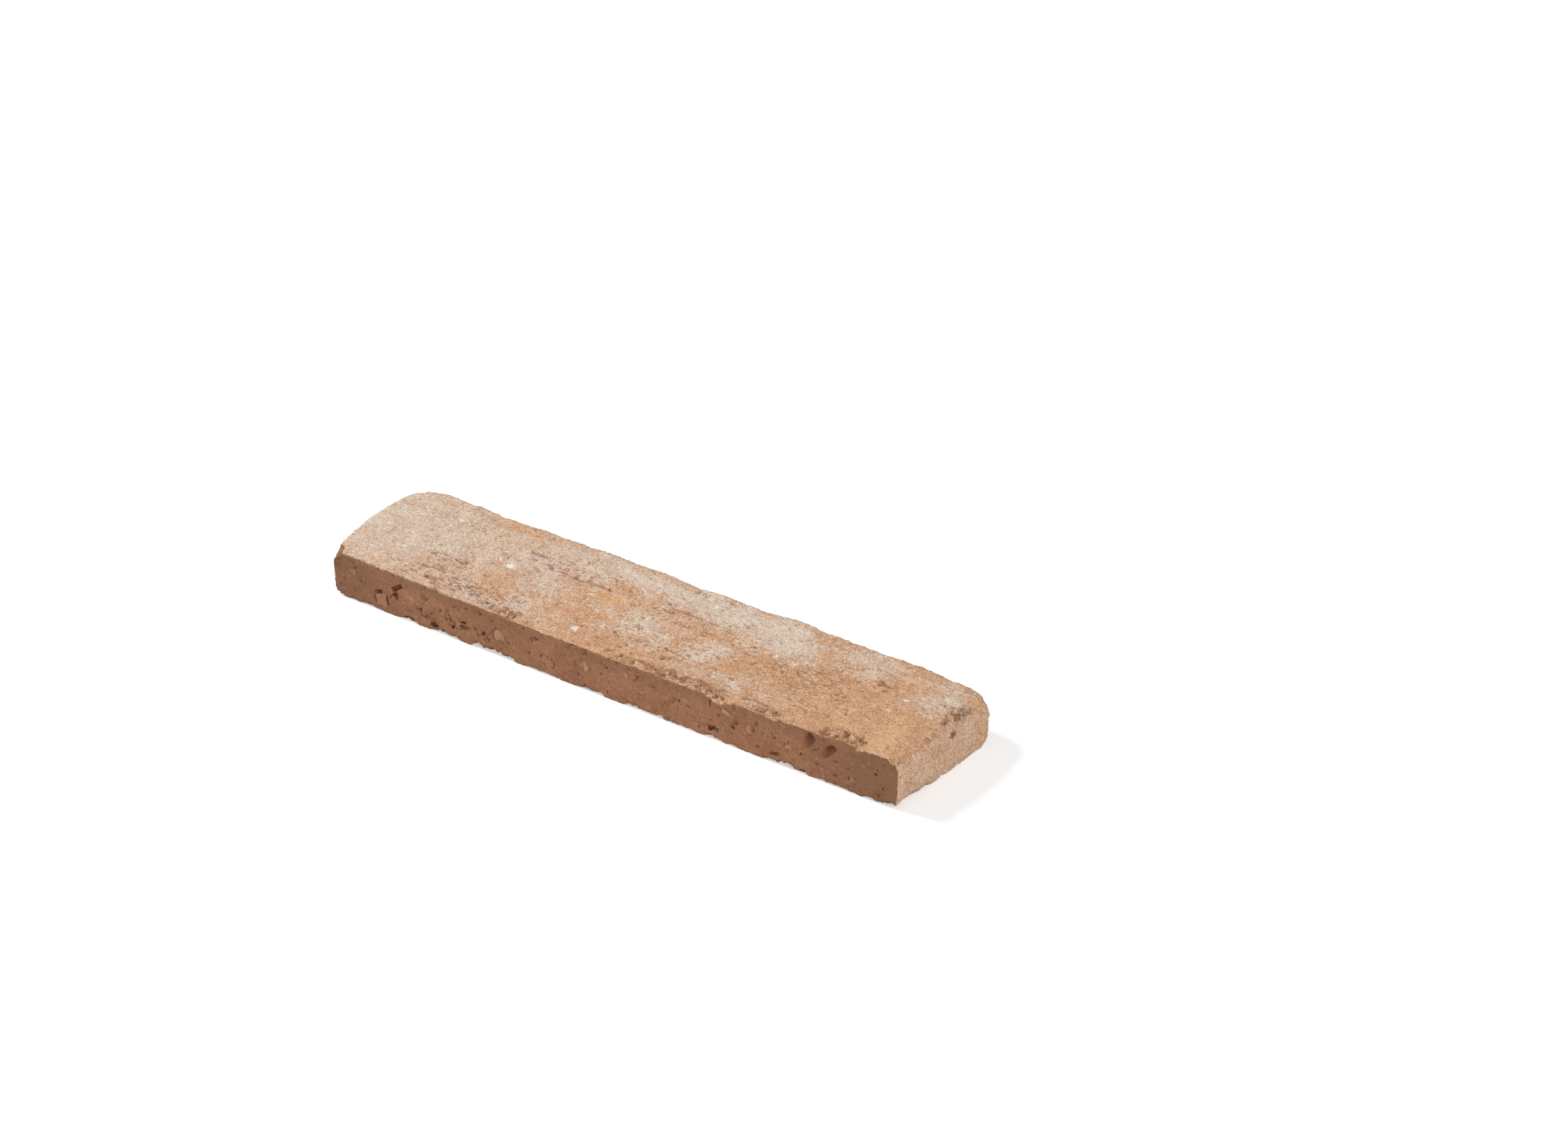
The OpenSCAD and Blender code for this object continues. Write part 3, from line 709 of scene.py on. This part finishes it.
def skin_colour(r, colours, where, fine, own):
    """Colour of the moulded skin: tan, sand, lime and ochre grounds, each in light and dark grains."""
    along = r.add("ShaderNodeMapping", {"vector_type": "TEXTURE"}, Vector=where, Scale=(3.0, 1.0, 2.0)).outputs[0]
    cloudy = r.noise(where, 7.0, 4.0)
    coarse = r.noise(where, 1.3, 3.0)
    streaks = r.noise(along, 0.9, 4.0)
    dash = r.noise(along, 0.62, 2.0)
    tone = summed(r, (fine, 3.3), (own, 0.35), (coarse, 0.85), (cloudy, 0.8))
    edge = summed(r, (fine, 1.4), (coarse, 1.6), (cloudy, 1.0))

    def ground(name):
        return r.mix(tone, tuple(getattr(colours, name + "_deep")), tuple(getattr(colours, name)))

    def over(skin, name, low, high, top=1.0):
        reached = r.maths("ADD", r.at(name), r.maths("MULTIPLY", r.maths("SUBTRACT", edge, 0.5), 0.7))
        return r.mix(r.spread(reached, low, high, 0, top), skin, ground(name))

    skin = r.mix(r.spread(streaks, 0.5, 0.75, 0, 0.6), ground("tan"), tuple(colours.tan_deep))
    skin = over(skin, "sand", 0.12, 0.95)
    skin = over(skin, "lime", 0.28, 0.8, 0.92)
    skin = over(skin, "ochre", 0.2, 1.0, 0.85)
    speck = r.spread(r.noise(where, 0.75, 2.0), 0.66, 0.73, 0, 0.75)
    skin = r.mix(speck, skin, tuple(colours.speck))
    dashed = r.maths("ADD", dash, r.maths("MULTIPLY", r.at("dashed"), 0.14))
    dashes = r.spread(dashed, 0.665, 0.715)
    skin = r.mix(r.maths("MULTIPLY", dashes, 0.8), skin, tuple(colours.speck))
    return r.mix(r.at("chalk"), skin, tuple(colours.chalk)), dashes


def raw_colour(r, colours, where, fine, own):
    """Colour of the sawn clay: brown, finely mottled, with faint saw marks, a few pale grains and the pellets."""
    turned = r.add("ShaderNodeMapping", Vector=where, Rotation=(0, math.radians(38), 0)).outputs[0]
    marks = r.add("ShaderNodeTexWave", Vector=turned, Scale=0.28, Distortion=3.0, Detail=2.0).outputs[1]
    mottled = r.noise(where, 2.2, 4.0)
    cloudy = r.noise(where, 13.0, 3.0)
    tone = summed(r, (fine, 1.7), (own, 0.3), (mottled, 0.9), (cloudy, 1.4), (marks, 0.13))
    raw = r.mix(tone, tuple(colours.raw_deep), tuple(colours.raw))
    raw = r.mix(r.maths("MULTIPLY", r.at("rim"), 0.55), raw, tuple(colours.rim))
    raw = r.mix(r.spread(own, 0.95, 0.98, 0, 0.3), raw, tuple(colours.pellet))
    dots = r.maths("ADD", r.noise(where, 0.55, 2.0), r.maths("MULTIPLY", r.maths("SUBTRACT", cloudy, 0.5), 0.25))
    raw = r.mix(r.spread(dots, 0.63, 0.7, 0, 0.6), raw, tuple(colours.raw_dark))
    return r.mix(r.at("pellet"), raw, tuple(colours.pellet)), marks


def cracks(r, where):
    """Short gaps between grains where the clay is loose: they darken the colour as painted shade and dent the bump."""
    bent = r.add("ShaderNodeVectorMath", {"operation": "MULTIPLY_ADD"})
    r.fill(bent.inputs[0], r.add("ShaderNodeTexNoise", Vector=where, Scale=0.7, Detail=3.0).outputs[1])
    bent.inputs[1].default_value = (2.5, 2.0, 2.0)
    r.fill(bent.inputs[2], where)
    net = r.add("ShaderNodeTexVoronoi", {"feature": "DISTANCE_TO_EDGE"}, Vector=bent.outputs[0], Scale=0.4)
    broken = r.spread(r.noise(where, 1.8, 2.0), 0.47, 0.56)
    line = r.spread(net.outputs[0], 0.02, 0.07, 1, 0)
    return r.maths("MULTIPLY", r.maths("MULTIPLY", line, broken), r.spread(r.at("loose"), 0.1, 0.6))


def clay_material(colours, sizes):
    """Fired clay: sand, lime and ochre on the moulded skin, and raw brown clay where it was sawn, with painted shade in
    its hollows and cracks.
    """
    material = bpy.data.materials.new("fired_clay")
    material.use_nodes = True
    r = Recipe(material)
    shader = material.node_tree.nodes["Principled BSDF"]
    local = r.add("ShaderNodeTexCoord").outputs["Object"]
    where = r.add("ShaderNodeVectorMath", {"operation": "SCALE"}, Vector=local, Scale=1 / MM).outputs[0]

    fine = r.noise(where, 0.42, 1.5)
    own = r.cells(where, 0.8)
    skin, dashes = skin_colour(r, colours, where, fine, own)
    raw, marks = raw_colour(r, colours, where, fine, own)
    moulded = r.spread(r.maths("ADD", r.at("moulded"), r.maths("SUBTRACT", fine, 0.5)), 0.3, 0.7)
    clay = r.mix(moulded, raw, skin)
    # Painted shade for the hollows and cracks: pit brown on the skin and darker void shade on the sawn side.
    hollow_shade = r.mix(moulded, tuple(colours.void_shade), tuple(colours.pit_shade))
    # Painted shade in the hollows, more where they are deeper.
    hollow = r.spread(r.maths("ADD", r.at("hollow"), r.maths("SUBTRACT", fine, 0.5)), 0.35, 0.6, 0, 0.85)
    clay = r.mix(r.maths("MULTIPLY", hollow, r.spread(moulded, 0, 1, 1, 0.65)), clay, hollow_shade)
    gaps = cracks(r, where)
    # Painted shade along the cracks between loose grains.
    r.fill(shader.inputs["Base Color"], r.mix(r.maths("MULTIPLY", gaps, r.spread(moulded, 0, 1, 0.85, 0.6)), clay, hollow_shade))

    r.fill(shader.inputs["Roughness"], r.spread(fine, 0.3, 0.7, 0.82, 0.96))
    shader.inputs["Specular IOR Level"].default_value = 0.25
    lumps = r.maths("MULTIPLY", r.noise(where, 1.2, 3.0), 1.1)
    rough = r.maths("ADD", r.maths("ADD", fine, lumps), r.maths("MULTIPLY", r.maths("ADD", dashes, gaps), -0.5))
    smooth = r.maths("ADD", r.maths("MULTIPLY", fine, 0.35), r.maths("MULTIPLY", marks, 0.08))
    smooth = r.maths("SUBTRACT", smooth, gaps)
    height = r.add("ShaderNodeMix", {"data_type": "FLOAT"}, Factor=r.at("moulded"), A=smooth, B=rough).outputs[0]
    bump = r.add("ShaderNodeBump", Strength=1.0, Distance=sizes.bump, Height=height)
    r.fill(shader.inputs["Normal"], bump.outputs[0])
    return material


class SlipSizes(bpy.types.PropertyGroup):
    """Sizes of the slip's relief."""

    step: FloatProperty(
        name="Mesh step", description="Edge length of the fine mesh", default=0.5 * MM, precision=5, unit="LENGTH"
    )
    under_step: FloatProperty(
        name="Underside step", description="Edge length under the slip", default=2.0 * MM, precision=5, unit="LENGTH"
    )
    grain: FloatProperty(
        name="Grain", description="Height of the sandy grain", default=0.17 * MM, precision=5, unit="LENGTH"
    )
    swell: FloatProperty(
        name="Swell", description="Height of the broad unevenness", default=0.2 * MM, precision=5, unit="LENGTH"
    )
    drag: FloatProperty(
        name="Drag marks", description="Depth of the marks along the face", default=0.55 * MM, precision=5,
        unit="LENGTH",
    )
    flake: FloatProperty(
        name="Flakes", description="Thickness of the flaking crust", default=0.22 * MM, precision=5, unit="LENGTH"
    )
    crack: FloatProperty(
        name="Cracks", description="Depth of the hair cracks in the face", default=0.35 * MM, precision=5,
        unit="LENGTH",
    )
    crumb: FloatProperty(
        name="Crumbs", description="Height of the crumbs along the front arris", default=1.2 * MM, precision=5,
        unit="LENGTH",
    )
    bump: FloatProperty(
        name="Bump", description="Height of the grain that is too fine for the mesh", default=0.3 * MM,
        precision=5, unit="LENGTH",
    )
    small_pits: IntProperty(name="Small pits", description="Small pits in the face", default=150)
    small_pores: IntProperty(name="Small pores", description="Small pores in the sawn side", default=170)
    lip: FloatProperty(
        name="Lip", description="Height of the lip along the front arris", default=0.3 * MM, precision=5,
        unit="LENGTH",
    )


def colour(name, description, default):
    """A colour that a user may change."""
    return FloatVectorProperty(name=name, description=description, default=default, subtype="COLOR", min=0, max=1)


class SlipColours(bpy.types.PropertyGroup):
    """Colours of the fired clay, and of the painted shade in its hollows."""

    tan: colour("Tan", "Light grains of the face", shade(225, 185, 148))
    tan_deep: colour("Deep tan", "Dark grains of the face", shade(191, 138, 100))
    sand: colour("Sand", "Light grains of the sandy part", shade(232, 216, 199))
    sand_deep: colour("Deep sand", "Dark grains of the sandy part", shade(194, 163, 140))
    lime: colour("Lime", "Light grains of the lime bloom", shade(236, 220, 202))
    lime_deep: colour("Deep lime", "Dark grains of the lime bloom", shade(204, 178, 155))
    ochre: colour("Ochre", "Light grains of the ochre patches", shade(233, 192, 151))
    ochre_deep: colour("Deep ochre", "Dark grains of the ochre patches", shade(208, 154, 109))
    speck: colour("Speck", "Brown specks and dashes in the face", shade(158, 106, 74))
    # The colour below is partly the brown of the pit floors and partly painted shade: it is laid on more where a pit,
    # crease or gap is deeper.
    pit_shade: colour("Pit", "Floor of the pits in the face", shade(134, 87, 60))
    chalk: colour("Chalk", "White chips", shade(240, 232, 222))
    raw: colour("Raw clay", "Light grains of the sawn side", shade(187, 136, 102))
    raw_deep: colour("Deep raw clay", "Dark grains of the sawn side", shade(150, 103, 74))
    rim: colour("Rim", "Greyer clay just under the face", shade(136, 97, 72))
    pellet: colour("Pellet", "Pellets of other clay", shade(208, 158, 121))
    raw_dark: colour("Dark raw clay", "Dark dots in the sawn side", shade(122, 78, 54))
    # The colour below is painted shade inside the voids and bubbles of the sawn side, laid on more where they are
    # deeper.
    void_shade: colour("Void shade", "Inside the voids of the sawn side", shade(110, 70, 49))


class StudioSettings(bpy.types.PropertyGroup):
    """Lamps, floor and camera."""

    sky: FloatProperty(name="Sky", description="Share of the light that comes from all round", default=0.36)
    key: FloatProperty(name="Key", description="Share of the light from the upper left", default=0.49)
    fill: FloatProperty(name="Fill", description="Share of the light from the right", default=0.23)
    lens: FloatProperty(name="Lens", description="Focal length in mm", default=74.16)
    heading: FloatProperty(name="Heading", description="Turn of the camera", default=math.radians(35.093), unit="ROTATION")
    tilt: FloatProperty(name="Tilt", description="How far it looks down", default=math.radians(29.835), unit="ROTATION")
    stand: FloatVectorProperty(
        name="Stand", description="Place of the camera", default=(0.50213, -0.64457, 0.50053), subtype="TRANSLATION",
        unit="LENGTH",
    )


class BRICKSLIP_OT_slip(bpy.types.Operator):
    """Makes the weathered brick slip over its CAD solid"""

    bl_idname = "brick_slip.slip"
    bl_label = "Weathered slip"

    def execute(self, context):
        sizes = context.scene.slip_sizes
        mesh = fine_mesh(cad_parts[CAD_NODE], sizes.step, sizes.under_step)
        slip = Slip(mesh, sizes)
        slip.relieve()
        slip.chip_edges()
        lay_out(mesh, slip)
        mesh.vertices.foreach_set("co", (slip.at * MM).astype(np.float32).ravel())
        for name, share in slip.finishes().items():
            layer = mesh.attributes.new(name, "FLOAT", "POINT")
            layer.data.foreach_set("value", share.astype(np.float32))
        mesh.materials.clear()
        mesh.materials.append(clay_material(context.scene.slip_colours, sizes))
        mesh.shade_smooth()
        mesh.update()
        mesh.name = PIECE
        piece = bpy.data.objects.new(PIECE, mesh)
        context.scene.collection.objects.link(piece)
        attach(piece, "root")
        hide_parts(CAD_NODE)
        return {"FINISHED"}


def lamp(name, towards, distance, size, share):
    """A soft square lamp that gives a level surface at the slip this share of the plain light."""
    direction = Vector(towards).normalized()
    data = bpy.data.lights.new(name, "AREA")
    data.size = size
    data.energy = share * math.pi ** 2 * distance ** 2 / direction.z
    piece = bpy.data.objects.new(name, data)
    piece.location = direction * distance
    piece.rotation_euler = direction.to_track_quat("Z", "Y").to_euler()
    bpy.context.scene.collection.objects.link(piece)


class BRICKSLIP_OT_stage(bpy.types.Operator):
    """Makes the floor, the lamps, the sky and the camera"""

    bl_idname = "brick_slip.stage"
    bl_label = "Studio"

    def execute(self, context):
        studio = context.scene.slip_studio
        self.sky(context.scene, studio)
        self.floor(context.scene)
        lamp("key", (-0.8, -0.08, 0.75), 1.5, 0.4, studio.key)
        lamp("fill", (0.9, -0.3, 0.5), 1.5, 1.2, studio.fill)
        self.camera(context.scene, studio)
        context.scene.view_settings.view_transform = "Standard"
        return {"FINISHED"}

    def sky(self, scene, studio):
        """An even sky that the camera sees as white."""
        world = bpy.data.worlds.new("sky")
        scene.world = world
        world.use_nodes = True
        nodes = world.node_tree.nodes
        back = nodes["Background"]
        back.inputs["Color"].default_value = (1, 1, 1, 1)
        rays = nodes.new("ShaderNodeLightPath")
        strength = nodes.new("ShaderNodeMapRange")
        strength.inputs["To Min"].default_value = studio.sky
        world.node_tree.links.new(rays.outputs["Is Camera Ray"], strength.inputs["Value"])
        world.node_tree.links.new(strength.outputs[0], back.inputs["Strength"])

    def floor(self, scene):
        """A wide pale floor. The camera sees it a little brighter, so that it is white outside the shadow."""
        half = 3.0
        mesh = bpy.data.meshes.new("floor")
        mesh.from_pydata([(-half, -half, 0), (half, -half, 0), (half, half, 0), (-half, half, 0)], [], [(0, 1, 2, 3)])
        floor = bpy.data.objects.new("floor", mesh)
        floor.location.z = -0.02 * MM
        scene.collection.objects.link(floor)
        material = bpy.data.materials.new("pale_floor")
        material.use_nodes = True
        r = Recipe(material)
        shader = material.node_tree.nodes["Principled BSDF"]
        shader.inputs["Base Color"].default_value = (0.8, 0.8, 0.8, 1)
        shader.inputs["Roughness"].default_value = 1.0
        shader.inputs["Specular IOR Level"].default_value = 0.0
        shader.inputs["Emission Color"].default_value = (1, 1, 1, 1)
        rays = r.add("ShaderNodeLightPath")
        r.fill(shader.inputs["Emission Strength"], r.maths("MULTIPLY", rays.outputs["Is Camera Ray"], 0.42))
        mesh.materials.append(material)

    def camera(self, scene, studio):
        """The camera where the photograph was taken from."""
        data = bpy.data.cameras.new("camera")
        data.sensor_fit = "HORIZONTAL"
        data.lens = studio.lens
        data.clip_start = 0.01
        camera = bpy.data.objects.new("camera", data)
        camera.location = studio.stand
        camera.rotation_euler = (math.pi / 2 - studio.tilt, 0, studio.heading)
        scene.collection.objects.link(camera)
        scene.camera = camera


class BRICKSLIP_PT_panel(bpy.types.Panel):
    """The slip's operators, sizes and colours"""

    bl_idname = "BRICKSLIP_PT_panel"
    bl_label = "Brick Slip"
    bl_space_type = "VIEW_3D"
    bl_region_type = "UI"
    bl_category = "Brick Slip"

    def draw(self, context):
        layout = self.layout
        for operator in OPERATORS:
            layout.operator(operator.bl_idname)
        for group in (context.scene.slip_sizes, context.scene.slip_colours, context.scene.slip_studio):
            box = layout.box()
            for name in group.__annotations__:
                box.prop(group, name)


OPERATORS = (BRICKSLIP_OT_stage, BRICKSLIP_OT_slip)
GROUPS = {"slip_sizes": SlipSizes, "slip_colours": SlipColours, "slip_studio": StudioSettings}


def register():
    """Registers the add-on's classes and its settings."""
    for kind in (*GROUPS.values(), *OPERATORS, BRICKSLIP_PT_panel):
        bpy.utils.register_class(kind)
    for name, group in GROUPS.items():
        setattr(bpy.types.Scene, name, PointerProperty(type=group))


def unregister():
    """Takes them away again."""
    for name in GROUPS:
        delattr(bpy.types.Scene, name)
    for kind in (BRICKSLIP_PT_panel, *reversed(OPERATORS), *reversed(GROUPS.values())):
        bpy.utils.unregister_class(kind)


def main():
    """Builds the studio and the slip."""
    register()
    bpy.ops.brick_slip.stage()
    bpy.ops.brick_slip.slip()


if __name__ == "__main__":
    main()
